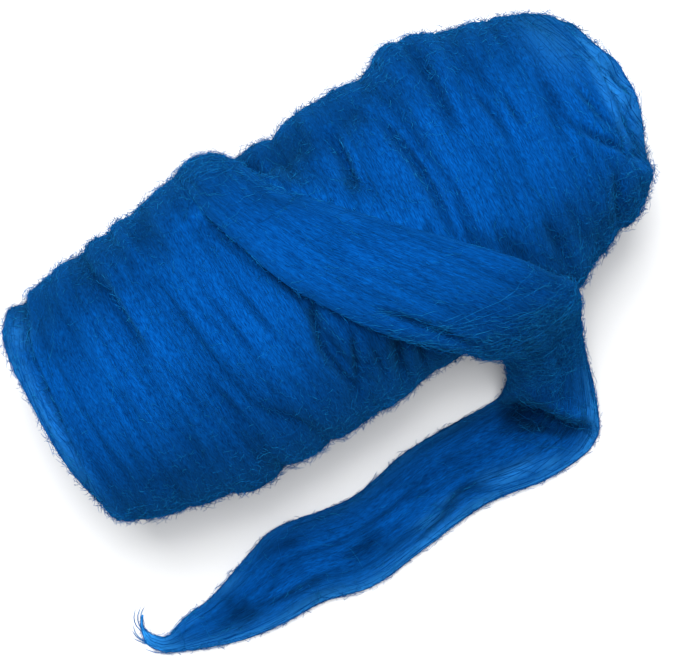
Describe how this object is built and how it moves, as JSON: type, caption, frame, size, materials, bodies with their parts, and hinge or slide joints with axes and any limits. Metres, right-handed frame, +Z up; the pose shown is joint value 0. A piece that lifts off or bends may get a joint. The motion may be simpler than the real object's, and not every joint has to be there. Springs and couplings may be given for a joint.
{
  "type": "wool roving",
  "caption": "Soft roll of dyed combed wool, wound in broad turns, with its loose flat end drawn over the top and laid along the front in a folded, tapering tail.",
  "frame": {"origin": "on the surface that the roll rests on, in the middle of its flat spot and under its axis", "axes": "+X along the roll's axis, towards the end where the loose end leaves the roll; -Y towards the loose end lying on the surface; +Z up"},
  "size_m": [0.3786, 0.2549, 0.1649],
  "materials": {
    "wool": "matt combed fibre with a soft sheen"
  },
  "bodies": {
    "root": {"roving_roll": "wool", "loose_end": "wool"}
  },
  "joints": []
}
